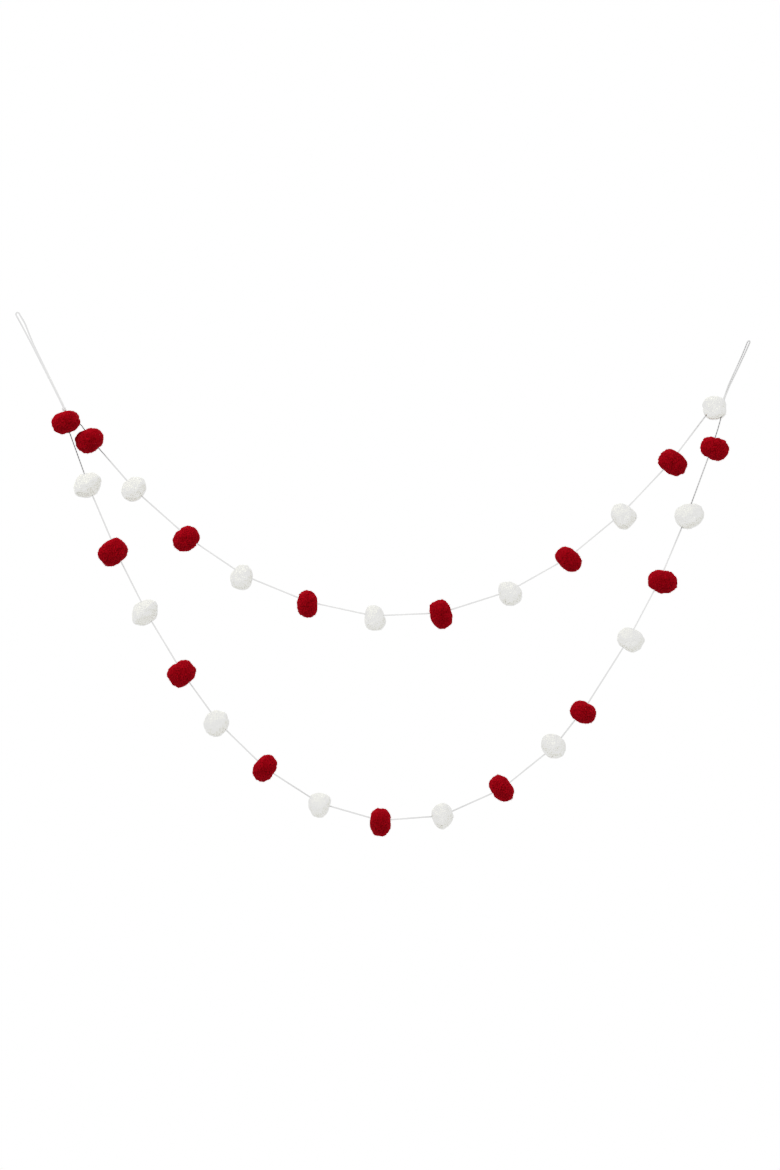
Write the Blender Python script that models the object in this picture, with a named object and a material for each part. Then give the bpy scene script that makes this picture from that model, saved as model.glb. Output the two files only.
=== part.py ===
"""Pom pom garland: 29 wool pompoms on one string, hung from two pins in two swags.

Metres, +Z up, +X to the right and +Y away from the viewer. The origin is the point where the left pin
carries the hanging loop. The string starts in the knot, goes up and back as the hanging loop, runs to the
right through the lower swag, doubles back over the right pin, returns through the upper swag and ends in
the knot again.

Each swag hangs as a catenary. A point's length s along it is counted from the lowest point, and a is the
catenary's constant: the point lies a times the inverse hyperbolic sine of s / a to the right, and the root
of a squared plus s squared, less a, higher. The slope there is s / a.
"""

import math
import random
from collections import namedtuple

import bmesh
import bpy
from mathutils import Matrix, Vector

MM = 0.001

# String
STRING_DIAMETER = 1.5 * MM
STRING_BEVEL_RESOLUTION = 2
CLEARANCE = 0.35 * MM  # between the string and the wool round it
BEND_SHARE = 0.35  # of a pompom's thickness, from its middle to where the string bends inside it
WELD = 0.00001

# Hanging loop and fold
KNOT_CENTRE = Vector((55.9, 0.0, -115.6)) * MM
KNOT_RADIUS = 2.4 * MM
KNOT_RIDGE = 0.22 * MM
KNOT_WRAPS = 3
KNOT_SEGMENTS = 16
KNOT_RINGS = 10
HAIRPIN_STEPS = 5
LOOP_HAIRPIN_RADIUS = 2.3 * MM
FOLD_HAIRPIN_RADIUS = 2.2 * MM
FOLD_TOP = Vector((878.0, 0.0, -33.4)) * MM
FOLD_DOWN = Vector((-0.40, 0.0, -0.92)).normalized()  # the way both strands leave the right pin
FOLD_OUT = (0.66 * FOLD_DOWN.cross(Vector((0, 1, 0))) + Vector((0, -1, 0))).normalized()  # forward, a little right

# Swags
# x0, z0 and a: the catenary's lowest point and constant; first_s: length along it, from there, of the
# first pompom; direction: +1 where the string runs to the right; first_y and y: how far the first
# pompom and the others hang behind the pins
DEPTH_REACH = 60.0 * MM
Swag = namedtuple("Swag", "x0 z0 a first_s direction first_y y")
LOWER = Swag(453.1 * MM, -609.7 * MM, 213.6 * MM, -658.6 * MM, 1, -4.0 * MM, -7.0 * MM)
UPPER = Swag(448.4 * MM, -366.7 * MM, 333.1 * MM, 482.5 * MM, -1, 3.5 * MM, 7.0 * MM)

# Stringing chart in millimetres and degrees, a row for each pompom in its order along the string
# gap: along the swag from the pompom before; across and thick: its two sizes; lean: of its short side
# from the string; taper: how much thicker it is trimmed at its top than at mid height, in parts; square:
# 2 for a round outline and more for flatter ends; drop: how far its middle hangs below the even curve;
# string: how far the string passes below that curve in it, mostly less, because the heavy side hangs down
Row = namedtuple("Row", "gap across thick lean taper square drop string")
LOWER_CHART = [
    Row(0, 34, 26, 0, 0, 2.3, 1, 0.5),
    Row(80, 35, 29.5, 15, -0.05, 1.6, 0.5, -0.5),
    Row(86, 35.5, 29, 15, 0, 2.6, 2, -2),
    Row(81.5, 35.5, 28.5, 20, 0, 1.6, -1.5, -3.5),
    Row(85.5, 33.5, 28.5, 5, -0.05, 2.5, -3, -4.5),
    Row(73, 31, 28, 35, 0.05, 2.1, -0.5, -4),
    Row(79.5, 33.5, 25, 5, 0, 2.3, -3.5, -4.5),
    Row(79.5, 28.5, 24.5, 20, 0.25, 2.4, 0, -3.5),
    Row(76, 33, 25, 5, 0.05, 2.5, 1.5, -2),
    Row(74.5, 30.5, 25.5, -15, 0.15, 1.7, 1, -1),
    Row(78.5, 34, 25, 5, 0, 2.2, -0.5, -1),
    Row(80.5, 31, 27.5, -5, -0.1, 1.8, -1, -0.5),
    Row(54, 31.5, 25.5, 15, 0.05, 2.3, -0.5, -2.5),
    Row(104, 31, 26, 0, -0.05, 2.3, -2, -4.5),
    Row(79.5, 35.5, 28, 15, 0, 2.1, 0.5, -4),
    Row(85, 34, 28.5, 45, 0.1, 2.3, -1.5, -4.5),
    Row(86, 34.5, 27, 0, -0.05, 2.2, -1, -4.5),
]
UPPER_CHART = [
    Row(0, 26.5, 27.5, 40, 0, 2.8, 0, -3),
    Row(82.5, 35.5, 27, 5, 0.05, 2.5, 0, -3),
    Row(87.5, 30, 25.5, 0, -0.15, 2.5, 0, -3.5),
    Row(84, 34, 24.5, 15, 0, 2.4, -0.5, -3),
    Row(82, 31, 27, 20, -0.15, 1.8, 0.5, -3),
    Row(86.5, 35.5, 26.5, 5, 0.05, 2.2, 0.5, -2.5),
    Row(80, 29.5, 23.5, 15, -0.15, 2.4, 0, -3.5),
    Row(83, 32.5, 24.5, 20, 0, 2.3, -2, -5.5),
    Row(85.5, 29.5, 25.5, 15, -0.1, 2.2, 0, -4),
    Row(81.5, 33.5, 27.5, -15, 0.05, 2.2, 0, -3.5),
    Row(87, 31.5, 26.5, 0, -0.05, 1.9, -1, -1.5),
    Row(79, 34.5, 28, -10, -0.1, 2.2, 2, -0.5),
]

# The string's hand-chosen way outside the swags, in millimetres
# Up from the knot beside the loop's left leg, then down its right leg
LOOP_LEFT_LEG = [
    (55.1, 0.9, -113.4),
    (53.6, 0.9, -110.6),
    (32.9, 0.7, -69.4),
    (17.2, 0.2, -38.2),
    (6.4, 0.0, -17.6),
]
LOOP_RIGHT_LEG = [
    (8.6, 0.0, -12.0),
    (15.4, 0.0, -29.0),
    (18.8, -0.2, -37.4),
    (34.3, -0.7, -68.6),
    (54.9, -1.0, -110.4),
    (56.2, -1.1, -115.0),
]
# From the lower swag up through the pile at the right side of the upper swag's first pompom
FOLD_FRONT_LEG = [
    (839.4, -5.0, -140.4),
    (843.6, -2.0, -126.6),
    (846.3, -0.5, -114.5),
    (848.2, -0.8, -102.5),
    (854.3, -0.6, -87.2),
    (865.3, -0.5, -64.5),
    (871.8, -1.2, -50.4),
]
# From the right pin into that pompom
FOLD_BACK_LEG = [
    (870.0, 1.2, -49.6),
    (863.6, 0.5, -63.7),
    (853.1, 0.6, -86.6),
    (847.4, 3.4, -103.8),
]
# From the upper swag to the knot, passing behind the lower swag's first pompom
LINK = [
    (76.0, 9.0, -135.0),
    (64.9, 9.6, -124.0),
    (58.6, 3.6, -118.0),
    (56.9, 1.3, -116.9),
]

# Pompoms
SEGMENTS = 16
RINGS = 10
LOCKS = 10
LOCK_TAPER = 0.55
LOCK_HEIGHT = (0.7 * MM, 1.4 * MM)
BODY_SHARE = 1.02  # of the charted size, because the flat faces between corners lie inside it
LUMP = 0.03  # of the radius, how uneven the trimmed surface is
DENT = 0.07  # of the radius, how far the yarn is drawn in where the string enters
DENT_REACH = 4.0 * MM
HEIGHT_LIMIT = 0.75  # of a lock's place along the short side
LOCK_FREE = 6.0 * MM  # no lock stands nearer to the string
GOLDEN_ANGLE = math.pi * (3 - math.sqrt(5))
SMOOTH_ANGLE = math.radians(50)
SEED = 29

# Materials: linear base colour and roughness
MATERIALS = {
    "red_wool": ((0.36, 0.004, 0.014), 0.95),
    "white_wool": ((0.79, 0.79, 0.74), 0.95),
    "white_string": ((0.72, 0.72, 0.69), 0.8),
}


def clear_scene():
    for old in list(bpy.data.objects):
        bpy.data.objects.remove(old, do_unlink=True)


def make_collection(name):
    made = bpy.data.collections.new(name)
    bpy.context.scene.collection.children.link(made)
    return made


def make_material(name):
    colour, roughness = MATERIALS[name]
    made = bpy.data.materials.new(name)
    made.use_nodes = True
    shader = made.node_tree.nodes["Principled BSDF"]
    shader.inputs["Base Color"].default_value = (*colour, 1.0)
    shader.inputs["Roughness"].default_value = roughness
    shader.inputs["Metallic"].default_value = 0.0
    return made


def ease(share):
    share = min(max(share, 0.0), 1.0)
    return share * share * (3 - 2 * share)


def swag_point(swag, s, drop):
    """The point at length s from the swag's lowest point, hung lower than the even curve by drop."""
    root = math.hypot(swag.a, s)
    share = ease((s - swag.first_s) * swag.direction / DEPTH_REACH)
    depth = swag.first_y + share * (swag.y - swag.first_y)
    down = Vector((s / root, 0.0, -swag.a / root)) * drop
    return Vector((swag.x0 + swag.a * math.asinh(s / swag.a), depth, swag.z0 + root - swag.a)) + down


def places(swag, chart):
    """Where each pompom of a swag sits: its row, its middle, and the string's two bends inside it."""
    s = swag.first_s
    found = []
    for row in chart:
        s += swag.direction * row.gap * MM
        step = swag.direction * BEND_SHARE * row.thick * MM
        bends = [swag_point(swag, s + k * step, row.string * MM) for k in (-1, 1)]
        found.append((row, swag_point(swag, s, row.drop * MM), bends))
    return found


def hairpin(top, down, out, radius):
    """A half circle under the point top: it starts on the side out, and its ends point along down."""
    centre = top + down * radius
    turns = [math.pi * k / HAIRPIN_STEPS for k in range(HAIRPIN_STEPS + 1)]
    return [centre + radius * (math.cos(t) * out - math.sin(t) * down) for t in turns]


def metres(points):
    return [Vector(p) * MM for p in points]


def string_route(lower, upper):
    """The string's points from end to end."""
    loop_top = Vector((0.0, 0.0, STRING_DIAMETER / 2))
    loop = hairpin(loop_top, Vector((0, 0, -1)), Vector((-1, 0, 0)), LOOP_HAIRPIN_RADIUS)
    fold = hairpin(FOLD_TOP, FOLD_DOWN, FOLD_OUT, FOLD_HAIRPIN_RADIUS)
    route = metres(LOOP_LEFT_LEG) + loop + metres(LOOP_RIGHT_LEG)
    for _, _, bends in lower:
        route += bends
    route += metres(FOLD_FRONT_LEG) + fold + metres(FOLD_BACK_LEG)
    # The last point of the back leg is the first pompom's own first bend
    route += upper[0][2][1:]
    for _, _, bends in upper[1:]:
        route += bends
    return route + metres(LINK)


def tube(name, points, radius, home):
    """A round tube along the points, as a closed mesh."""
    curve = bpy.data.curves.new(name + "_line", "CURVE")
    curve.dimensions = "3D"
    curve.bevel_depth = radius
    curve.bevel_resolution = STRING_BEVEL_RESOLUTION
    curve.use_fill_caps = True
    spline = curve.splines.new("POLY")
    spline.points.add(len(points) - 1)
    for place, p in zip(spline.points, points):
        place.co = (*p, 1.0)
    line = bpy.data.objects.new(name + "_line", curve)
    home.objects.link(line)
    bpy.context.view_layer.update()
    shape = line.evaluated_get(bpy.context.evaluated_depsgraph_get())
    mesh = bpy.data.meshes.new_from_object(shape)
    mesh.name = name
    bm = bmesh.new()
    bm.from_mesh(mesh)
    bmesh.ops.remove_doubles(bm, verts=bm.verts, dist=WELD)
    bmesh.ops.recalc_face_normals(bm, faces=bm.faces)
    bm.to_mesh(mesh)
    bm.free()
    made = bpy.data.objects.new(name, mesh)
    made.matrix_world = line.matrix_world
    home.objects.link(made)
    bpy.data.objects.remove(line, do_unlink=True)
    bpy.data.curves.remove(curve)
    return made


def knot(name, radius, home):
    """A small round knot whose wraps are slanting ridges round it."""
    bm = bmesh.new()
    bmesh.ops.create_uvsphere(bm, u_segments=KNOT_SEGMENTS, v_segments=KNOT_RINGS, radius=radius)
    for v in bm.verts:
        turn = math.atan2(v.co.y, v.co.x)
        height = v.co.z / radius
        ridge = math.cos(2 * turn + KNOT_WRAPS * math.pi * height) * math.sqrt(max(0.0, 1 - height * height))
        v.co *= 1 + KNOT_RIDGE / radius * ridge
    mesh = bpy.data.meshes.new(name)
    bm.to_mesh(mesh)
    bm.free()
    made = bpy.data.objects.new(name, mesh)
    made.location = KNOT_CENTRE
    home.objects.link(made)
    return made


def add_boolean(target, other, operation):
    made = target.modifiers.new(operation.lower(), "BOOLEAN")
    made.operation = operation
    made.solver = "EXACT"
    made.object = other


def hide(guide):
    guide.hide_render = True
    guide.display_type = "WIRE"


def knotted_string(name, route, grow, home, guides):
    """The string with its knot, every surface moved out by grow."""
    made = tube(name, route, STRING_DIAMETER / 2 + grow, home)
    ball = knot(name + "_knot", KNOT_RADIUS + grow, guides)
    hide(ball)
    add_boolean(made, ball, "UNION")
    return made


def from_line(point, start, way):
    """How far a point is from the line through start along the unit vector way."""
    return (point - start).cross(way).length


def barrel_radius(row, way):
    """How far the even pompom reaches in a direction.

    With c and z the direction's parts across and along the short side, A and T the two half sizes and n the
    row's square, it is one over the n-th root of c / A to the power n plus z / T to the power n.
    """
    across = math.hypot(way.x, way.y) / (row.across * MM / 2)
    along = abs(way.z) / (row.thick * MM / 2)
    return (across**row.square + along**row.square) ** (-1 / row.square)


def add_locks(bm, rng, start, way):
    """Pull separate faces out as tapered locks, spread over the surface but clear of the string."""
    free = [f for f in bm.faces if len(f.verts) == 4]
    free = [f for f in free if from_line(f.calc_center_median(), start, way) > LOCK_FREE]
    turn = rng.uniform(0, 2 * math.pi)
    for k in range(LOCKS):
        height = (2 * (k + 0.5) / LOCKS - 1) * HEIGHT_LIMIT
        aim = Vector((math.cos(turn), math.sin(turn), height)).normalized()
        turn += GOLDEN_ANGLE
        best = max(free, key=lambda f: f.calc_center_median().normalized().dot(aim))
        taken = {f for v in best.verts for f in v.link_faces}
        free = [f for f in free if f not in taken]
        out = best.calc_center_median().normalized()
        top = bmesh.ops.extrude_discrete_faces(bm, faces=[best])["faces"][0]
        middle = top.calc_center_median()
        rise = rng.uniform(*LOCK_HEIGHT)
        for v in top.verts:
            v.co = middle + (v.co - middle) * LOCK_TAPER + out * rise


def pompom_mesh(name, row, rng, start, way):
    """A lumpy rounded barrel of trimmed yarn, its short side along local Z and its upper side along local Y.

    The string's line, through start along way, dents its two ends. The taper makes each point's z larger by
    the taper times the point's share of the half size upward.
    """
    bm = bmesh.new()
    bmesh.ops.create_uvsphere(bm, u_segments=SEGMENTS, v_segments=RINGS, radius=1.0)
    for v in bm.verts:
        even = v.co.normalized() * barrel_radius(row, v.co.normalized())
        even.z *= 1 + row.taper * even.y / (row.across * MM / 2)
        dent = DENT * math.exp(-((from_line(even, start, way) / DENT_REACH) ** 2))
        v.co = even * BODY_SHARE * (1 - dent) * (1 + rng.uniform(-LUMP, LUMP))
    add_locks(bm, rng, start, way)
    bmesh.ops.recalc_face_normals(bm, faces=bm.faces)
    mesh = bpy.data.meshes.new(name)
    bm.to_mesh(mesh)
    bm.free()
    mesh.shade_smooth()
    mesh.set_sharp_from_angle(angle=SMOOTH_ANGLE)
    return mesh


def pompom(number, place, cutter, home):
    """One pompom on the string: red and white take turns along it."""
    row, middle, (start, end) = place
    rng = random.Random(SEED + number)
    name = f"pompom_{number:02d}"
    along = (end - start).normalized()
    lean = Matrix.Rotation(-math.radians(row.lean), 4, "Y")
    stand = Matrix.Translation(middle) @ lean @ along.to_track_quat("Z", "Y").to_matrix().to_4x4()
    inward = stand.inverted()
    way = (inward @ end - inward @ start).normalized()
    made = bpy.data.objects.new(name, pompom_mesh(name, row, rng, inward @ start, way))
    made.matrix_world = stand
    made.data.materials.append(bpy.data.materials["red_wool" if number % 2 else "white_wool"])
    home.objects.link(made)
    add_boolean(made, cutter, "DIFFERENCE")


def main():
    clear_scene()
    parts = make_collection("pom_pom_garland")
    guides = make_collection("cutters")
    for name in MATERIALS:
        make_material(name)
    lower = places(LOWER, LOWER_CHART)
    upper = places(UPPER, UPPER_CHART)
    route = string_route(lower, upper)
    string = knotted_string("string", route, 0.0, parts, guides)
    string.data.materials.append(bpy.data.materials["white_string"])
    string.data.shade_smooth()
    room = knotted_string("string_room", route, CLEARANCE, guides, guides)
    hide(room)
    for number, place in enumerate(lower + upper, start=1):
        pompom(number, place, room, parts)


main()
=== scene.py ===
"""The looks of the pom pom garland: trimmed wool pompoms on one plied cotton string.

Metres, +Z up, +X to the right and +Y away from the viewer, with the origin where the left pin carries the
hanging loop. Each pompom is a dense pile of cut yarn ends, trimmed close to the surface of its solid.
"""

import math
from collections import namedtuple

import bpy
import numpy as np
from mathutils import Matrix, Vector


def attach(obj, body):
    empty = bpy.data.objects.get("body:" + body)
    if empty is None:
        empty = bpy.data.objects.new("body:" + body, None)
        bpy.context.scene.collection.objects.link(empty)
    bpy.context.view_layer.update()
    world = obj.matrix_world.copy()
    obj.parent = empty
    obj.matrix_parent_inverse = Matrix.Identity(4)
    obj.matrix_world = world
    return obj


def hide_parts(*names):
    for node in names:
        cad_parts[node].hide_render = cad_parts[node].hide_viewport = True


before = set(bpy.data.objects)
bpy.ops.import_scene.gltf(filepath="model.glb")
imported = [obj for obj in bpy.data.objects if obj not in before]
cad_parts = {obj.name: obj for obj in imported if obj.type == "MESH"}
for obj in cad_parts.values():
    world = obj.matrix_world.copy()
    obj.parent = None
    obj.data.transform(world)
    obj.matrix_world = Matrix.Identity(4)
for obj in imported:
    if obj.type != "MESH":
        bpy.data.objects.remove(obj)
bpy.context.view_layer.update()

MM = 0.001

# String
STRING_DIAMETER = 1.5 * MM
BEND_SHARE = 0.35  # of a pompom's short measure, how far its two bends of string are from its middle
PLIES = 3
PLY_POINTS = 3  # round each ply
PLY_DEPTH = 0.26  # of the string's radius, how deep the groove between two plies is
TWIST_PITCH = 4.6 * MM  # length of one full turn of the plies
TURN_STEP = 1 / 8  # of a full turn, between two rings
SOFTEN = 2.5 * MM  # length over which a bend is rounded
LOOP_HAIRPIN_RADIUS = 2.3 * MM
FOLD_HAIRPIN_RADIUS = 2.2 * MM
HAIRPIN_STEPS = 16

# Painted shade on the cotton where shade falls on the string, and painted light where the number is below
# nought, in millimetres: the place, its reach and how much greyer it is there
PAINTED_SHADE_SPOTS = [
    ((71.0, -7.0, -165.0), 45.0, 0.85),
    ((5.0, 0.0, -15.0), 40.0, 0.05),
    ((42.0, 0.0, -90.0), 35.0, -0.2),
    ((270.0, 7.0, -320.0), 110.0, -0.15),
    ((420.0, 7.0, -370.0), 80.0, -0.2),
    ((660.0, 7.0, -290.0), 120.0, -0.2),
    ((320.0, -7.0, -590.0), 50.0, 0.1),
    ((510.0, -7.0, -605.0), 50.0, 0.2),
    ((655.0, -7.0, -505.0), 30.0, 0.25),
    ((755.0, -7.0, -350.0), 50.0, -0.2),
    ((826.0, -7.0, -225.0), 55.0, 0.65),
    ((842.0, -5.0, -140.0), 30.0, 0.65),
    ((870.0, 0.0, -55.0), 35.0, 0.3),
]

# Fold over the right pin: its top, the way down from it, and the way across it, slanting to the viewer
FOLD_TOP = np.array((878.0, 0.0, -33.4)) * MM
FOLD_DOWN = np.array((-0.40, 0.0, -0.92)) / math.hypot(0.40, 0.92)
FOLD_SLANT = 0.66
FOLD_OUT = (FOLD_SLANT * np.cross(FOLD_DOWN, (0, 1, 0)) + np.array((0, -1, 0))) / math.hypot(FOLD_SLANT, 1)

# Knot: wraps of the string round the strands that it ties
KNOT_CENTRE = np.array((55.9, 0.0, -115.6)) * MM
KNOT_AXIS = np.array((0.46, 0.0, -0.888)) / math.hypot(0.46, 0.888)
KNOT_TURNS = 3.3
KNOT_HALF_LENGTH = 2.0 * MM
KNOT_WRAP_RADIUS = 1.55 * MM
KNOT_DRAWN_IN = 0.45  # of the wraps' radius, at both ends
KNOT_STEPS = 150

# Swags, as in the part's source: lowest point and constant of each catenary, place of its first pompom
# along it, the way the string runs, and its depth at the first pompom and at the others
DEPTH_REACH = 60.0 * MM
Swag = namedtuple("Swag", "x0 z0 a first_s direction first_y y")
LOWER = Swag(453.1 * MM, -609.7 * MM, 213.6 * MM, -658.6 * MM, 1, -4.0 * MM, -7.0 * MM)
UPPER = Swag(448.4 * MM, -366.7 * MM, 333.1 * MM, 482.5 * MM, -1, 3.5 * MM, 7.0 * MM)

# Stringing chart in millimetres and degrees, as in the part's source
Row = namedtuple("Row", "gap across thick lean taper square drop string")
LOWER_CHART = [
    Row(0, 34, 26, 0, 0, 2.3, 1, 0.5),
    Row(80, 35, 29.5, 15, -0.05, 1.6, 0.5, -0.5),
    Row(86, 35.5, 29, 15, 0, 2.6, 2, -2),
    Row(81.5, 35.5, 28.5, 20, 0, 1.6, -1.5, -3.5),
    Row(85.5, 33.5, 28.5, 5, -0.05, 2.5, -3, -4.5),
    Row(73, 31, 28, 35, 0.05, 2.1, -0.5, -4),
    Row(79.5, 33.5, 25, 5, 0, 2.3, -3.5, -4.5),
    Row(79.5, 28.5, 24.5, 20, 0.25, 2.4, 0, -3.5),
    Row(76, 33, 25, 5, 0.05, 2.5, 1.5, -2),
    Row(74.5, 30.5, 25.5, -15, 0.15, 1.7, 1, -1),
    Row(78.5, 34, 25, 5, 0, 2.2, -0.5, -1),
    Row(80.5, 31, 27.5, -5, -0.1, 1.8, -1, -0.5),
    Row(54, 31.5, 25.5, 15, 0.05, 2.3, -0.5, -2.5),
    Row(104, 31, 26, 0, -0.05, 2.3, -2, -4.5),
    Row(79.5, 35.5, 28, 15, 0, 2.1, 0.5, -4),
    Row(85, 34, 28.5, 45, 0.1, 2.3, -1.5, -4.5),
    Row(86, 34.5, 27, 0, -0.05, 2.2, -1, -4.5),
]
UPPER_CHART = [
    Row(0, 26.5, 27.5, 40, 0, 2.8, 0, -3),
    Row(82.5, 35.5, 27, 5, 0.05, 2.5, 0, -3),
    Row(87.5, 30, 25.5, 0, -0.15, 2.5, 0, -3.5),
    Row(84, 34, 24.5, 15, 0, 2.4, -0.5, -3),
    Row(82, 31, 27, 20, -0.15, 1.8, 0.5, -3),
    Row(86.5, 35.5, 26.5, 5, 0.05, 2.2, 0.5, -2.5),
    Row(80, 29.5, 23.5, 15, -0.15, 2.4, 0, -3.5),
    Row(83, 32.5, 24.5, 20, 0, 2.3, -2, -5.5),
    Row(85.5, 29.5, 25.5, 15, -0.1, 2.2, 0, -4),
    Row(81.5, 33.5, 27.5, -15, 0.05, 2.2, 0, -3.5),
    Row(87, 31.5, 26.5, 0, -0.05, 1.9, -1, -1.5),
    Row(79, 34.5, 28, -10, -0.1, 2.2, 2, -0.5),
]

# The string's way outside the swags, in millimetres, as in the part's source
LOOP_LEFT_LEG = [
    (55.1, 0.9, -113.4),
    (53.6, 0.9, -110.6),
    (32.9, 0.7, -69.4),
    (17.2, 0.2, -38.2),
    (6.4, 0.0, -17.6),
]
LOOP_RIGHT_LEG = [
    (8.6, 0.0, -12.0),
    (15.4, 0.0, -29.0),
    (18.8, -0.2, -37.4),
    (34.3, -0.7, -68.6),
    (54.9, -1.0, -110.4),
    (56.2, -1.1, -115.0),
]
FOLD_FRONT_LEG = [
    (839.4, -5.0, -140.4),
    (843.6, -2.0, -126.6),
    (846.3, -0.5, -114.5),
    (848.2, -0.8, -102.5),
    (854.3, -0.6, -87.2),
    (865.3, -0.5, -64.5),
    (871.8, -1.2, -50.4),
]
FOLD_BACK_LEG = [
    (870.0, 1.2, -49.6),
    (863.6, 0.5, -63.7),
    (853.1, 0.6, -86.6),
    (847.4, 3.4, -103.8),
]
LINK = [
    (76.0, 9.0, -135.0),
    (64.9, 9.6, -124.0),
    (58.6, 3.6, -118.0),
    (56.9, 1.3, -116.9),
]

# Pile of a pompom: its yarn ends and the tufts that each fans out into
YARN_ENDS = 680
FIBRES = 7
BLOOM = 1.45 * MM  # how far they fan out
ROOT_BLOOM = 0.2  # of that, at their roots
ROOT_SHARE = 0.55  # of the radius, where they begin
PROUD = 0.4 * MM  # how far the middle tufts of a yarn end stand past the trimmed surface
TUFT_UNEVEN = 2 / 3  # of the unevenness of the yarn ends, that of the tufts on them
END_TONE = 0.6  # share of a yarn end's own tone in its tufts' tone
WAY_SCATTER = 0.3  # over the root of their number, how far each yarn end is off its even place
# For the colour, lower in the pile takes more of the root colour: painted shade deep in the pile where that
# colour is darker
TUFT_HEIGHTS = (0.0, 0.8, 0.8, 0.8, 1.0)  # in the pile, of a tuft's root, shoulder points and tip
STRAYS = 40  # longer, thinner tufts on a pompom
STRAY_LENGTH = (0.5 * MM, 1.6 * MM)  # the least and most that they are longer
STRAY_RADIUS = 0.10 * MM
CORE_RINGS = 16
CORE_SEGMENTS = 24
# The core takes mostly the root colour: painted shade under the pile where that colour is darker
CORE_HEIGHT = 0.1
CORE_TONE = 0.5

# What differs between the two wools. Of a tuft, the least and greatest radius, and the shoulder: the share
# of its length where it is thickest, just under its blunt tip. Dome: how much lower the outer tufts of a
# yarn end are than its middle ones. Uneven: how unevenly the yarn ends are trimmed, in parts of the radius.
# Core: how far the matted yarn under the pile reaches, in parts of the radius. Ruffle: how far the shading
# leans to the side at a tuft's shoulder.
Pile = namedtuple("Pile", "slot finish tuft_radius shoulder dome uneven core ruffle")
Form = namedtuple("Form", "node row middle axis up start along crests phases parting")
Tufts = namedtuple("Tufts", "ways roots tips radii shoulders out tone")

# Form of a pompom
LEAST_SHARE = 0.95  # of the even radius, so that the wool closes round the string
TAPER_STEPS = 4
DENT = 0.07  # of the radius, how far the yarn is drawn in where the string enters
DENT_REACH = 4.0 * MM
WAVES = 7
WAVE_LENGTH = 9.0 * MM
WAVE_DEPTH = 0.016  # of the radius, how deep the soft creases between clumps of yarn are
CLEFT = (0.01, 0.08)  # of the radius, the least and most that the pile parts where the string enters
CLEFT_WIDTH = 1.3 * MM
CLEFT_LENGTH = 9.0 * MM
SLOPE_STEP = 0.03  # between the two directions that a slope is measured at
PUSH_RADIUS = 1.0 * MM  # the wool stays this far from the string's middle
NEAR_STRING = 30.0 * MM  # from a pompom's middle, the part of the string that its wool is kept off
GOLDEN_ANGLE = math.pi * (3 - math.sqrt(5))
SEED = 29

# Camera: straight on, with the frame's scale and size, and where in it the left pin is, in pixels
FRAME_MM_PER_PIXEL = 1.2
FRAME_PIXELS = (780, 1170)
ORIGIN_PIXEL = (17.6, 313.0)
CAMERA_DISTANCE = 3.0
SENSOR = 36.0
BRIGHTEST = 1.3  # what comes out as white
ROLL_OFF = [(0.1, 0.1), (0.35, 0.36), (0.6, 0.62), (0.75, 0.735), (0.98, 0.80), (1.15, 0.89)]
SURROUND = 1.0  # the white surround's light on the garland

# Pale floor: half its width, half its depth and its thickness, and the height of its top, in metres
FLOOR_SIZE = (0.9, 0.45, 0.01)
FLOOR_TOP = -1.25


def ease(share):
    """A soft step from 0 to 1: three times the share's square less twice its cube."""
    share = min(max(share, 0.0), 1.0)
    return share * share * (3 - 2 * share)


def unit(vectors):
    """Each vector divided by its own length."""
    return vectors / np.linalg.norm(vectors, axis=-1, keepdims=True)


def swag_point(swag, s, drop):
    """The point at length s along a catenary from its lowest point, hung lower than the even curve by drop.

    It lies a times the inverse hyperbolic sine of s / a to the right of the lowest point, and the root of a
    squared plus s squared, less a, above it. The way down is the curve's normal there.
    """
    root = math.hypot(swag.a, s)
    share = ease((s - swag.first_s) * swag.direction / DEPTH_REACH)
    depth = swag.first_y + share * (swag.y - swag.first_y)
    down = np.array((s / root, 0.0, -swag.a / root)) * drop
    return np.array((swag.x0 + swag.a * math.asinh(s / swag.a), depth, swag.z0 + root - swag.a)) + down


def places(swag, chart):
    """Where each pompom of a swag sits: its row, its middle, and the string's two bends inside it."""
    s = swag.first_s
    found = []
    for row in chart:
        s += swag.direction * row.gap * MM
        step = swag.direction * BEND_SHARE * row.thick * MM
        bends = [swag_point(swag, s + k * step, row.string * MM) for k in (-1, 1)]
        found.append((row, swag_point(swag, s, row.drop * MM), bends))
    return found


def hairpin(top, down, out, radius):
    """A half circle under the point top: the middle plus cosine times out, less sine times down."""
    turns = np.linspace(0, math.pi, HAIRPIN_STEPS)[:, None]
    return top + down * radius + radius * (np.cos(turns) * out - np.sin(turns) * down)


def metres(points):
    """Points in millimetres as an array in metres."""
    return np.array(points) * MM


def string_route(lower, upper):
    """The string's points from end to end: loop, lower swag, fold, upper swag and back to the knot."""
    loop_top = np.array((0.0, 0.0, STRING_DIAMETER / 2))
    loop = hairpin(loop_top, np.array((0, 0, -1)), np.array((-1, 0, 0)), LOOP_HAIRPIN_RADIUS)
    fold = hairpin(FOLD_TOP, FOLD_DOWN, FOLD_OUT, FOLD_HAIRPIN_RADIUS)
    lower_bends = [p for _, _, bends in lower for p in bends]
    # The last point of the back leg takes the place of the first upper pompom's own first bend
    upper_bends = [p for _, _, bends in upper for p in bends][1:]
    legs = [
        metres(LOOP_LEFT_LEG),
        loop,
        metres(LOOP_RIGHT_LEG),
        lower_bends,
        metres(FOLD_FRONT_LEG),
        fold,
        metres(FOLD_BACK_LEG),
        upper_bends,
        metres(LINK),
    ]
    return np.concatenate(legs)


def lengths_along(points):
    """The length of the line up to each of its points."""
    return np.concatenate([[0], np.cumsum(np.linalg.norm(np.diff(points, axis=0), axis=1))])


def even_line(points, step):
    """The same line with its points a step apart."""
    along = lengths_along(points)
    at = np.linspace(0, along[-1], round(along[-1] / step) + 1)
    return np.stack([np.interp(at, along, points[:, k]) for k in range(3)], axis=1)


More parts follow.
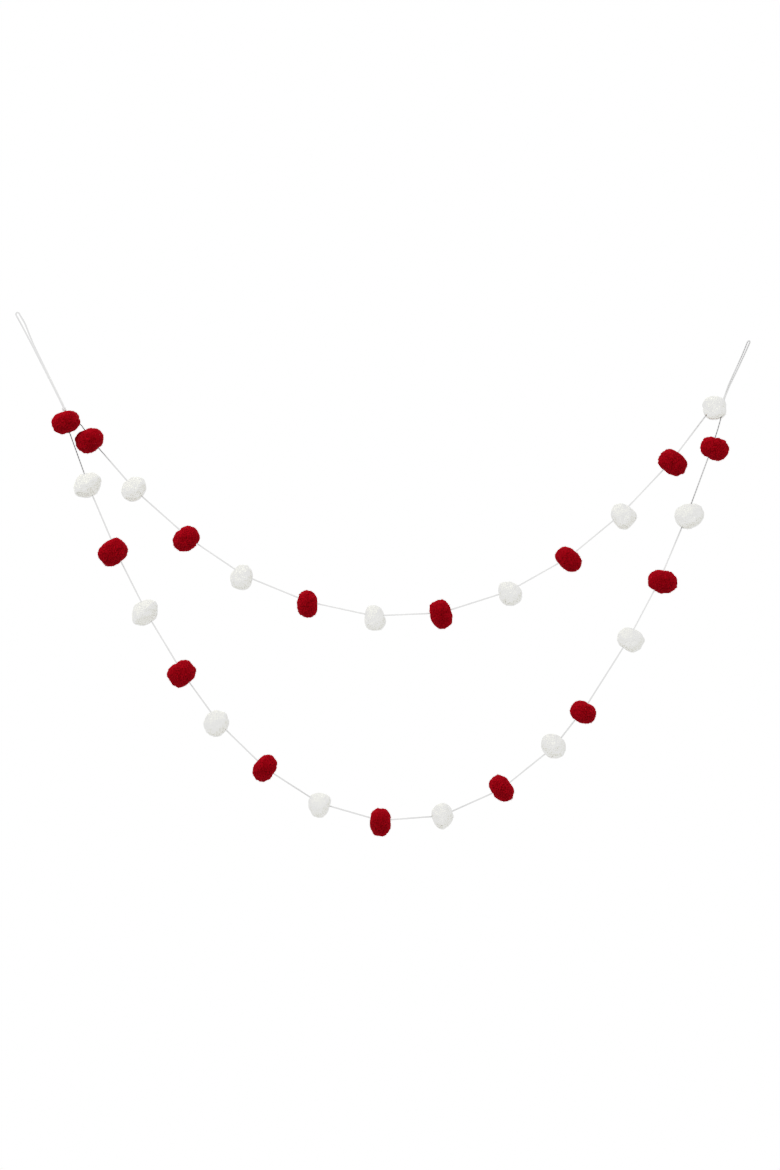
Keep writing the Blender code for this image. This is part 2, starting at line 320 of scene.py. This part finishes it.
def softened(points, step):
    """Each point moved to the mean of those within half of SOFTEN, with the two ends kept in place."""
    reach = round(SOFTEN / step / 2)
    ends = np.repeat(points[:1], reach, axis=0), np.repeat(points[-1:], reach, axis=0)
    longer = np.concatenate([ends[0], points, ends[1]])
    window = np.ones(2 * reach + 1) / (2 * reach + 1)
    smooth = np.stack([np.convolve(longer[:, k], window, mode="valid") for k in range(3)], axis=1)
    smooth[0], smooth[-1] = points[0], points[-1]
    return smooth


def plied_tube(line, radius, pitch):
    """A plied string along a line: rings that turn with the plies, closed at both ends.

    At length s and angle t round it, a ring's radius is the string's radius less PLY_DEPTH times it where
    two plies meet, and the angle turns by s / pitch full turns. Returns points, faces and the groove depth.
    """
    along = lengths_along(line)
    ahead = unit(np.gradient(line, axis=0))
    side = unit(np.cross(ahead, (0.0, 1.0, 0.0)))
    up = np.cross(side, ahead)
    sides = PLIES * PLY_POINTS
    around = np.arange(sides) * 2 * math.pi / sides
    crest = (1 - np.cos(PLIES * around)) / 2
    radii = radius * (1 - PLY_DEPTH * (1 - crest) ** 2)
    angle = around[None, :] + 2 * math.pi * along[:, None] / pitch
    across = np.cos(angle)[..., None] * side[:, None] + np.sin(angle)[..., None] * up[:, None]
    rings = line[:, None] + radii[None, :, None] * across
    points = np.concatenate([rings.reshape(-1, 3), line[:1], line[-1:]])
    groove = np.concatenate([np.tile(crest, len(line)), [0.0, 0.0]])
    quads, caps = tube_faces(len(line), sides)
    return points, [quads, caps], groove


def tube_faces(rows, sides):
    """Quads between each ring and the next, and a fan from each end ring to its own middle point."""
    first = np.arange(rows - 1)[:, None] * sides
    here = np.arange(sides)[None, :]
    beside = (here + 1) % sides
    quads = [first + here, first + sides + here, first + sides + beside, first + beside]
    quads = np.stack(quads, axis=-1)
    here, beside, last = here[0], beside[0], (rows - 1) * sides
    start = np.stack([here, beside, np.full(sides, rows * sides)], axis=1)
    end = np.stack([last + beside, last + here, np.full(sides, rows * sides + 1)], axis=1)
    return quads.reshape(-1, 4), np.concatenate([start, end])


def put_mesh(name, points, face_arrays, values, normals=None):
    """A smooth mesh from arrays of points and faces, with values = {attribute: one number a point}.

    Where normals are given, one for each point, the light falls on the mesh by them.
    """
    mesh = bpy.data.meshes.new(name)
    mesh.vertices.add(len(points))
    mesh.vertices.foreach_set("co", points.astype(np.float32).ravel())
    corners = np.concatenate([faces.ravel() for faces in face_arrays])
    sizes = np.concatenate([np.full(len(faces), faces.shape[1]) for faces in face_arrays])
    mesh.loops.add(len(corners))
    mesh.loops.foreach_set("vertex_index", corners.astype(np.int32))
    mesh.polygons.add(len(sizes))
    mesh.polygons.foreach_set("loop_start", (np.cumsum(sizes) - sizes).astype(np.int32))
    mesh.polygons.foreach_set("use_smooth", np.ones(len(sizes), bool))
    for attribute, numbers in values.items():
        layer = mesh.attributes.new(attribute, "FLOAT", "POINT")
        layer.data.foreach_set("value", numbers.astype(np.float32))
    mesh.update(calc_edges=True)
    if normals is not None:
        mesh.normals_split_custom_set_from_vertices(normals)
    made = bpy.data.objects.new(name, mesh)
    bpy.context.scene.collection.objects.link(made)
    return made


def solid_radius(node, middle, ways):
    """How far the node's solid reaches from its middle in each direction.

    Each direction is intersected with each triangle at once. A ray from the middle meets a triangle of
    corner c and edges e and f where the ray's length is f times (s cross e), over the ray dotted with
    (f cross e), with s from c to the middle. The furthest meeting is kept.
    """
    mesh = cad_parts[node].data
    mesh.calc_loop_triangles()
    points = np.empty(len(mesh.vertices) * 3)
    mesh.vertices.foreach_get("co", points)
    corners = np.empty(len(mesh.loop_triangles) * 3, dtype=np.int32)
    mesh.loop_triangles.foreach_get("vertices", corners)
    a, b, c = points.reshape(-1, 3)[corners.reshape(-1, 3)].transpose(1, 0, 2)
    e, f, s = b - a, c - a, middle - a
    slant = ways @ np.cross(f, e).T
    with np.errstate(divide="ignore", invalid="ignore"):
        u = ways @ np.cross(f, s).T / slant
        v = ways @ np.cross(s, e).T / slant
        reach = np.sum(f * np.cross(s, e), axis=1) / slant
        met = (u >= 0) & (v >= 0) & (u + v <= 1) & (reach > 0)
    return np.max(np.where(met, reach, 0.0), axis=1)


def even_radius(form, ways):
    """How far the even pompom reaches in each direction: a rounded barrel, dented where the string enters.

    With c, y and z the direction's parts across, up and along the short side, A and T the two half sizes,
    n the row's square and t its taper, it is one over the n-th root of c / A to the power n plus z' / T to
    the power n. There z' is z over 1 + t r y / A, with r the radius itself, found by putting it in again.
    The dent takes DENT of it away at the string, falling off by the Gaussian curve of DENT_REACH.
    """
    row = form.row
    across, thick = row.across * MM / 2, row.thick * MM / 2
    z, y = np.abs(ways @ form.axis), ways @ form.up
    flat = (np.sqrt(np.maximum(1 - z**2, 0)) / across) ** row.square
    radius = np.full(len(ways), across)
    for _ in range(TAPER_STEPS):
        tapered = z / thick / (1 + row.taper * radius * y / across)
        radius = (flat + tapered**row.square) ** (-1 / row.square)
    offset = form.middle + radius[:, None] * ways - form.start
    gap = np.linalg.norm(np.cross(offset, form.along), axis=1)
    return radius * (1 - DENT * np.exp(-((gap / DENT_REACH) ** 2)))


def creases(form, ways):
    """Soft uneven waves over the surface, as a share of the radius.

    They are the sum of WAVES sines of the place along as many random directions, scaled so that WAVE_DEPTH
    is their usual height.
    """
    waves_a_radius = form.row.across * MM / 2 / WAVE_LENGTH
    phase = 2 * math.pi * waves_a_radius * (ways @ form.crests.T) + form.phases
    return WAVE_DEPTH * math.sqrt(2 / WAVES) * np.sum(np.sin(phase), axis=1)


def clefts(form, points):
    """The share of the radius by which the pile parts where the string enters, at the points.

    The cleft runs towards the viewer and away: with u and v a point's places square to the string, across
    and along the line of sight, it falls off as the Gaussian curves of u / CLEFT_WIDTH and of
    v / CLEFT_LENGTH.
    """
    beside = unit(np.cross(form.along, (0, 1, 0)))
    deep = np.cross(form.along, beside)
    offset = points - form.start
    fall = (offset @ beside / CLEFT_WIDTH) ** 2 + (offset @ deep / CLEFT_LENGTH) ** 2
    ahead = (points - form.middle) @ form.along > 0
    return np.where(ahead, form.parting[1], form.parting[0]) * np.exp(-fall)


def trimmed_radius(form, ways):
    """Where the shears have cut the pile.

    It is midway between the solid, or LEAST_SHARE of the even form where the solid is lower, and the even
    form, with creases and less the clefts at the string.
    """
    even = even_radius(form, ways)
    solid = np.maximum(solid_radius(form.node, form.middle, ways), LEAST_SHARE * even)
    radius = (solid + even) / 2 * (1 + creases(form, ways))
    return radius * (1 - clefts(form, form.middle + radius[:, None] * ways))


def soft_radius(form, ways):
    """How far the even pompom with its creases reaches in each direction."""
    return even_radius(form, ways) * (1 + creases(form, ways))


def outward(form, ways):
    """The direction square to the soft surface, at each direction from its middle.

    It is the direction less its slope times each of the two directions beside it. A slope is the growth of
    the soft radius over a step of SLOPE_STEP, as a share of the radius and of the step.
    """
    here = soft_radius(form, ways)
    square = ways.copy()
    for beside in square_frame(ways):
        slope = (soft_radius(form, unit(ways + SLOPE_STEP * beside)) / here - 1) / SLOPE_STEP
        square -= slope[:, None] * beside
    return unit(square)


def spread_ways(count, rng):
    """Directions spread evenly over a ball by the golden angle, each a little off its place."""
    k = np.arange(count) + 0.5
    height = 1 - 2 * k / count
    turn = GOLDEN_ANGLE * k
    flat = np.sqrt(1 - height**2)
    ways = np.stack([flat * np.cos(turn), flat * np.sin(turn), height], axis=1)
    return unit(ways + rng.normal(0, WAY_SCATTER / math.sqrt(count), (count, 3)))


def square_frame(ways):
    """Two directions square to each given one and to each other."""
    steep = np.abs(ways[:, 2:]) > 0.9
    other = np.where(steep, (1.0, 0.0, 0.0), (0.0, 0.0, 1.0))
    side = unit(np.cross(ways, other))
    return side, np.cross(ways, side)


def clear_of_string(roots, rings, tips, line):
    """Tufts moved sideways off the string: each by what its worst point needs to be PUSH_RADIUS away."""
    points = np.concatenate([rings, tips[:, None]], axis=1)
    flat = points.reshape(-1, 3)
    gaps = np.linalg.norm(flat[:, None] - line[None], axis=2)
    nearest = np.argmin(gaps, axis=1)
    away = flat - line[nearest]
    ahead = unit(np.gradient(line, axis=0))[nearest]
    away = away - np.sum(away * ahead, axis=1, keepdims=True) * ahead
    gap = np.linalg.norm(away, axis=1)
    need = np.clip(PUSH_RADIUS - gap, 0, None)
    push = (away / np.maximum(gap, 1e-9)[:, None] * need[:, None]).reshape(points.shape)
    worst = np.argmax(need.reshape(points.shape[:2]), axis=1)
    shift = push[np.arange(len(push)), worst]
    return roots + shift, rings + shift[:, None], tips + shift


def yarn_tufts(form, pile, rng):
    """The tufts of all yarn ends, each yarn end fanned out about its own direction from the middle.

    On a yarn end a tuft is BLOOM times the root of a random share away from the middle, at a random turn.
    Its tip is at the trimmed radius times its unevenness, plus PROUD, less the dome times that share.
    """
    ends = spread_ways(YARN_ENDS, rng)
    reach = trimmed_radius(form, ends)
    side, up = square_frame(ends)
    spread = np.sqrt(rng.random((YARN_ENDS, FIBRES, 1)))
    turn = 2 * math.pi * rng.random((YARN_ENDS, FIBRES, 1))
    offset = BLOOM * spread * (np.cos(turn) * side[:, None] + np.sin(turn) * up[:, None])
    ways = unit((ends * reach[:, None])[:, None] + offset).reshape(-1, 3)
    uneven = 1 + np.repeat(rng.normal(0, pile.uneven, YARN_ENDS), FIBRES)
    uneven += rng.normal(0, pile.uneven * TUFT_UNEVEN, len(ways))
    tip_radius = trimmed_radius(form, ways) * uneven + PROUD - pile.dome * spread.ravel() ** 2
    roots = np.repeat(ends * reach[:, None] * ROOT_SHARE, FIBRES, axis=0)
    roots = form.middle + roots + ROOT_BLOOM * offset.reshape(-1, 3)
    tips = form.middle + ways * tip_radius[:, None]
    radii = rng.uniform(*pile.tuft_radius, len(ways))
    shoulders = rng.uniform(*pile.shoulder, len(ways))
    tone = END_TONE * np.repeat(rng.random(YARN_ENDS), FIBRES)
    tone += (1 - END_TONE) * rng.random(len(ways))
    return Tufts(ways, roots, tips, radii, shoulders, outward(form, ways), tone)


def with_strays(tufts, shoulder, rng):
    """The tufts and STRAYS more, each along a random one but thinner, and longer by STRAY_LENGTH."""
    picked = rng.choice(len(tufts.roots), STRAYS, replace=False)
    stray = Tufts(*(column[picked] for column in tufts))
    tips = stray.tips + stray.ways * rng.uniform(*STRAY_LENGTH, (STRAYS, 1))
    tips += rng.normal(0, STRAY_LENGTH[0] / 2, (STRAYS, 3))
    stray = stray._replace(
        tips=tips,
        radii=np.full(STRAYS, STRAY_RADIUS),
        shoulders=np.full(STRAYS, shoulder),
    )
    return Tufts(*(np.concatenate(columns) for columns in zip(tufts, stray)))


def tuft_mesh(tufts, ruffle, line):
    """The tufts as spindles of three sides, pointed at the root and blunt at the tip.

    The points of one are its root, three points at equal angles round its shoulder, and its tip. Its
    normals are the outward direction of the soft surface. At the shoulder, ruffle times the way to the side
    is added.
    """
    side, up = square_frame(unit(tufts.tips - tufts.roots))
    middles = tufts.roots + (tufts.tips - tufts.roots) * tufts.shoulders[:, None]
    turns = np.arange(3) * 2 * math.pi / 3
    across = np.cos(turns)[None, :, None] * side[:, None] + np.sin(turns)[None, :, None] * up[:, None]
    rings = middles[:, None] + tufts.radii[:, None, None] * across
    roots, rings, tips = clear_of_string(tufts.roots, rings, tufts.tips, line)
    points = np.concatenate([roots[:, None], rings, tips[:, None]], axis=1).reshape(-1, 3)
    out = tufts.out[:, None]
    normals = np.concatenate([out, unit(out + ruffle * across), out], axis=1).reshape(-1, 3)
    pattern = np.array([(0, 2, 1), (0, 3, 2), (0, 1, 3), (1, 2, 4), (2, 3, 4), (3, 1, 4)])
    first = np.arange(len(roots))[:, None, None] * len(TUFT_HEIGHTS)
    return points, (first + pattern[None]).reshape(-1, 3), normals


def core(form, share):
    """The matted yarn under the pile: rings between two poles, at a share of the trimmed radius."""
    polar = math.pi * np.arange(1, CORE_RINGS) / CORE_RINGS
    turn = 2 * math.pi * np.arange(CORE_SEGMENTS) / CORE_SEGMENTS
    polar, turn = np.meshgrid(polar, turn, indexing="ij")
    grid = [np.sin(polar) * np.cos(turn), np.sin(polar) * np.sin(turn), np.cos(polar)]
    ways = np.concatenate([np.stack(grid, axis=-1).reshape(-1, 3), [(0, 0, 1), (0, 0, -1)]])
    points = form.middle + share * trimmed_radius(form, ways)[:, None] * ways
    quads, caps = tube_faces(CORE_RINGS - 1, CORE_SEGMENTS)
    return points, quads, caps, outward(form, ways)


def leaned(vector, lean):
    """A vector turned by the lean, in degrees, about the line towards the viewer."""
    sine, cosine = math.sin(math.radians(lean)), math.cos(math.radians(lean))
    x, y, z = vector
    return np.array((x * cosine - z * sine, y, x * sine + z * cosine))


def shaped(number, place, rng):
    """The form of one pompom: its place, its string, its creases and the directions that it leans in."""
    row, middle, (start, end) = place
    along = unit(end - start)
    up = unit(np.array((0, 0, 1)) - along[2] * along)
    crests = unit(rng.normal(0, 1, (WAVES, 3)))
    phases = rng.uniform(0, 2 * math.pi, WAVES)
    parting = rng.uniform(*CLEFT, 2)
    axis, up = leaned(along, row.lean), leaned(up, row.lean)
    return Form(f"pompom_{number:02d}", row, middle, axis, up, start, along, crests, phases, parting)


def pompom(number, place, line, pile):
    """One pompom: yarn ends set out from its middle, each fanned into tufts, over a matted core."""
    rng = np.random.default_rng(SEED + number)
    form = shaped(number, place, rng)
    near = line[np.linalg.norm(line - form.middle, axis=1) < NEAR_STRING]
    tufts = with_strays(yarn_tufts(form, pile, rng), pile.shoulder[0], rng)
    points, faces, normals = tuft_mesh(tufts, pile.ruffle, near)
    core_points, quads, caps, core_out = core(form, pile.core)
    height = np.tile(TUFT_HEIGHTS, len(tufts.tone))
    height = np.concatenate([height, np.full(len(core_points), CORE_HEIGHT)])
    tone = np.repeat(tufts.tone, len(TUFT_HEIGHTS))
    tone = np.concatenate([tone, np.full(len(core_points), CORE_TONE)])
    made = put_mesh(
        f"wool_{number:02d}",
        np.concatenate([points, core_points]),
        [faces, caps + len(points), quads + len(points)],
        {"tone": tone, "height": height},
        np.concatenate([normals, core_out]),
    )
    made.data.materials.append(pile.finish)
    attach(made, "root")
    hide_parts(form.node)


class Value:
    """One value in a material's nodes. A sum, difference or product of values adds a Math node."""

    def __init__(self, finish, socket):
        self.finish = finish
        self.socket = socket

    def maths(self, operation, first, second):
        return self.finish.node("ShaderNodeMath", {"operation": operation}, {0: first, 1: second})

    def __add__(self, other):
        return self.maths("ADD", self, other)

    __radd__ = __add__

    def __sub__(self, other):
        return self.maths("SUBTRACT", self, other)

    def __rsub__(self, other):
        return self.maths("SUBTRACT", other, self)

    def __mul__(self, other):
        return self.maths("MULTIPLY", self, other)

    __rmul__ = __mul__


class Finish:
    """A material made of nodes, with its Principled shader at hand."""

    def __init__(self, name, roughness, settings):
        self.material = bpy.data.materials.new(name)
        self.material.use_nodes = True
        self.tree = self.material.node_tree
        self.shader = self.tree.nodes["Principled BSDF"]
        self.shader.inputs["Roughness"].default_value = roughness
        for socket, value in settings.items():
            self.shader.inputs[socket].default_value = value

    def node(self, kind, settings=None, inputs=None, output=0):
        """Any node: its settings first, then the values or links of its sockets. Gives one output."""
        made = self.tree.nodes.new(kind)
        for key, value in (settings or {}).items():
            setattr(made, key, value)
        for key, value in (inputs or {}).items():
            if isinstance(value, Value):
                self.tree.links.new(value.socket, made.inputs[key])
            else:
                made.inputs[key].default_value = value
        return Value(self, made.outputs[output])

    def feed(self, socket, value):
        self.tree.links.new(value.socket, self.shader.inputs[socket])

    def attribute(self, name):
        return self.node("ShaderNodeAttribute", {"attribute_name": name}, output=2)

    def place(self):
        return self.node("ShaderNodeTexCoord", output=3)

    def noise(self, size, detail=2.0):
        """Soft noise whose patches are about size across."""
        inputs = {"Vector": self.place(), "Scale": 1 / size, "Detail": detail}
        return self.node("ShaderNodeTexNoise", {}, inputs)

    def mix(self, share, first, second):
        """The first colour where the share is 0, and the second where it is 1."""
        inputs = {0: share, 6: first, 7: second}
        return self.node("ShaderNodeMix", {"data_type": "RGBA"}, inputs, output=2)

    def bump(self, height, strength, distance):
        inputs = {"Strength": strength, "Distance": distance, "Height": height}
        self.feed("Normal", self.node("ShaderNodeBump", {}, inputs))


def wool(name, shaded, lit, root, tint, rim, grain):
    """Trimmed wool yarn, between its shaded and its lit colour, painted shade and painted light, and its
    root colour deep in the pile, painted shade where it is darker than these.

    Each yarn end has its own tone, and random patches drift over the ball; both mix the shaded and the lit
    colour, so they are painted shade and painted light spread at random, over the wool's own uneven tone.
    Grain gives the yarn ends and fibres their share in that and leaves less to the patches. Tint and rim
    are the colour and strength of the soft light on the ball's rim.
    """
    made = Finish(
        name,
        0.9,
        {
            "Specular IOR Level": 0.1,
            "Specular Tint": tint,
            "Sheen Weight": rim,
            "Sheen Roughness": 0.6,
            "Sheen Tint": tint,
        },
    )
    tone = made.attribute("tone")
    height = made.attribute("height")
    patches = made.noise(6 * MM)
    fibre = made.noise(0.35 * MM, 3.0)
    share = 0.4 * grain * tone + (1.1 - 0.55 * grain) * patches + 0.2 * grain * fibre - 0.03 * grain
    # Painted shade and painted light: the shaded and the lit colour, mixed in random patches
    painted_light_and_tone = made.mix(share, shaded, lit)
    # Deep in the pile the root colour takes over: painted shade where it is darker than the rest
    made.feed("Base Color", made.mix(height, root, painted_light_and_tone))
    made.feed("Roughness", 0.8 + 0.2 * fibre)
    made.bump(fibre, 0.6 * grain, 0.15 * MM)
    return made.material


def cotton():
    """Plied cotton: painted shade in the grooves between plies, finely slubbed, with painted shade and
    painted light in places.
    """
    made = Finish("cotton_string", 0.8, {"Specular IOR Level": 0.25, "Sheen Weight": 0.2})
    crest = made.attribute("crest")
    painted_grey = made.attribute("handled")
    slow = made.noise(60 * MM)
    slubs = made.noise(1.2 * MM)
    fibre = made.noise(0.2 * MM, 3.0)
    # Painted shade: the cotton is darker in the grooves between plies, where shade falls
    share = 0.7 * crest + 0.3 * slubs + 0.2 * fibre - 0.1
    groove_shaded_cotton = made.mix(share, (0.52, 0.52, 0.51, 1), (0.78, 0.78, 0.77, 1))
    # The greyer patches laid over the cotton here are painted shade, and the lighter ones are painted light
    made.feed("Base Color", made.mix(slow - 0.3 + painted_grey, groove_shaded_cotton, (0.06, 0.06, 0.06, 1)))
    made.feed("Roughness", 0.75 + 0.2 * fibre)
    made.bump(fibre, 0.5, 0.08 * MM)
    return made.material


def handled(points):
    """How much painted shade the cotton has at each point, painted light where below nought: soft-edged
    patches at the listed places.

    Each adds its most times the exponential of less the fourth power of the distance over its reach.
    """
    painted_grey = np.zeros(len(points))
    for place, reach, most in PAINTED_SHADE_SPOTS:
        gap = np.linalg.norm(points - np.array(place) * MM, axis=1)
        painted_grey += most * np.exp(-((gap / (reach * MM)) ** 4))
    return painted_grey


def string_and_knot(route, finish):
    """The whole string as one plied tube, and the wraps of its knot."""
    step = TWIST_PITCH * TURN_STEP
    line = softened(even_line(route, step), step)
    points, faces, crest = plied_tube(line, STRING_DIAMETER / 2, TWIST_PITCH)
    # Along the string, the amount of painted shade and painted light at each point
    string = put_mesh("plied_string", points, faces, {"crest": crest, "handled": handled(points)})
    knot = put_knot()
    for piece in (string, knot):
        piece.data.materials.append(finish)
        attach(piece, "root")
    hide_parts("string")
    return line


def put_knot():
    """The knot's wraps: a helix of KNOT_TURNS turns round the strands, drawn in at both ends.

    With t from 0 to 1 along it, its radius is less by KNOT_DRAWN_IN times the eighth power of 2 t - 1.
    """
    t = np.linspace(0, 1, KNOT_STEPS)[:, None]
    side, up = square_frame(KNOT_AXIS[None])
    turn = 2 * math.pi * KNOT_TURNS * t
    radius = KNOT_WRAP_RADIUS * (1 - KNOT_DRAWN_IN * (2 * t - 1) ** 8)
    line = KNOT_CENTRE + (2 * t - 1) * KNOT_HALF_LENGTH * KNOT_AXIS
    line = line + radius * (np.cos(turn) * side + np.sin(turn) * up)
    points, faces, crest = plied_tube(line, STRING_DIAMETER / 2, TWIST_PITCH)
    return put_mesh("knot_wraps", points, faces, {"crest": crest, "handled": handled(points)})


def light(name, place, aim, size, power, colour):
    """A soft round light at a place, turned towards its aim."""
    data = bpy.data.lights.new(name, "AREA")
    data.shape = "DISK"
    data.size = size
    data.energy = power
    data.color = colour
    made = bpy.data.objects.new(name, data)
    made.location = place
    made.rotation_euler = (Vector(aim) - Vector(place)).to_track_quat("-Z", "Y").to_euler()
    bpy.context.scene.collection.objects.link(made)


def develop(settings):
    """A photographic curve: shadows and colours as they are, and highlights rolled off towards white."""
    settings.view_transform = "Standard"
    settings.use_curve_mapping = True
    mapping = settings.curve_mapping
    mapping.clip_max_x = BRIGHTEST
    curve = mapping.curves[3]
    curve.points[1].location = (BRIGHTEST, 1.0)
    for shade in ROLL_OFF:
        curve.points.new(*shade)
    mapping.update()


def camera(middle):
    """A camera straight in front of the middle, which fits the frame's height at the garland."""
    data = bpy.data.cameras.new("camera")
    data.sensor_width = SENSOR
    data.lens = SENSOR * CAMERA_DISTANCE / (FRAME_PIXELS[1] * FRAME_MM_PER_PIXEL * MM)
    made = bpy.data.objects.new("camera", data)
    made.location = middle + Vector((0.0, -CAMERA_DISTANCE, 0.0))
    made.rotation_euler = (math.pi / 2, 0.0, 0.0)
    bpy.context.scene.collection.objects.link(made)
    bpy.context.scene.camera = made


def surround():
    """A white surround that lights the garland with SURROUND and is seen as BRIGHTEST."""
    world = bpy.data.worlds.new("surround")
    world.use_nodes = True
    nodes, links = world.node_tree.nodes, world.node_tree.links
    seen = nodes["Background"]
    seen.inputs["Color"].default_value = (1, 1, 1, 1)
    seen.inputs["Strength"].default_value = BRIGHTEST
    around = nodes.new("ShaderNodeBackground")
    around.inputs["Color"].default_value = (1, 1, 1, 1)
    around.inputs["Strength"].default_value = SURROUND
    path = nodes.new("ShaderNodeLightPath")
    chosen = nodes.new("ShaderNodeMixShader")
    links.new(path.outputs["Is Camera Ray"], chosen.inputs[0])
    links.new(around.outputs[0], chosen.inputs[1])
    links.new(seen.outputs[0], chosen.inputs[2])
    links.new(chosen.outputs[0], nodes["World Output"].inputs["Surface"])
    bpy.context.scene.world = world


def pale_floor(middle):
    """A thin pale slab below the frame."""
    corners = np.array([(x, y, z) for z in (-1, 0) for y in (-1, 1) for x in (-1, 1)], float)
    corners = corners * FLOOR_SIZE + (middle.x, 0.0, FLOOR_TOP)
    faces = [(0, 2, 3, 1), (4, 5, 7, 6), (0, 1, 5, 4), (1, 3, 7, 5), (3, 2, 6, 7), (2, 0, 4, 6)]
    floor = put_mesh("floor", corners, [np.array(faces)], {})
    floor.data.polygons.foreach_set("use_smooth", np.zeros(len(faces), bool))
    pale = Finish("pale_floor", 0.9, {"Base Color": (0.85, 0.85, 0.84, 1)})
    floor.data.materials.append(pale.material)


def studio():
    """Camera straight on, soft light from the upper left, a white surround and a pale floor."""
    develop(bpy.context.scene.view_settings)
    across = (FRAME_PIXELS[0] / 2 - ORIGIN_PIXEL[0]) * FRAME_MM_PER_PIXEL * MM
    down = (FRAME_PIXELS[1] / 2 - ORIGIN_PIXEL[1]) * FRAME_MM_PER_PIXEL * MM
    middle = Vector((across, 0.0, -down))
    camera(middle)
    light("key", place=(-0.8, -1.7, 1.5), aim=middle, size=1.4, power=58, colour=(1.0, 0.998, 0.99))
    light("fill", place=(1.9, -2.2, 0.1), aim=middle, size=1.6, power=17, colour=(0.97, 0.98, 1.0))
    light("back", place=(0.4, 2.0, 0.9), aim=middle, size=1.6, power=30, colour=(1.0, 1.0, 1.0))
    surround()
    pale_floor(middle)


studio()
lower = places(LOWER, LOWER_CHART)
upper = places(UPPER, UPPER_CHART)
string_line = string_and_knot(string_route(lower, upper), cotton())
red = Pile(
    slot="red_wool",
    finish=wool(
        "red_wool_yarn",
        shaded=(0.145, 0.0004, 0.002, 1),
        lit=(0.38, 0.0025, 0.0095, 1),
        # Root colour darker than the shaded one: painted shade deep in the pile
        root=(0.11, 0.0003, 0.0015, 1),
        tint=(0.7, 0.015, 0.035, 1),
        rim=0.3,
        grain=1.0,
    ),
    tuft_radius=(0.50 * MM, 0.72 * MM),
    shoulder=(0.91, 0.965),
    dome=0.6 * MM,
    uneven=0.012,
    core=0.93,
    ruffle=1.3,
)
white = Pile(
    slot="white_wool",
    finish=wool(
        "white_wool_yarn",
        shaded=(0.69, 0.69, 0.64, 1),
        lit=(0.78, 0.78, 0.735, 1),
        root=(0.74, 0.735, 0.685, 1),
        tint=(1, 1, 1, 1),
        rim=0.12,
        grain=0.35,
    ),
    tuft_radius=(0.72 * MM, 0.94 * MM),
    shoulder=(0.96, 0.985),
    dome=0.1 * MM,
    uneven=0.003,
    core=0.985,
    ruffle=3.0,
)
for number, place in enumerate(lower + upper, start=1):
    pompom(number, place, string_line, red if number % 2 else white)
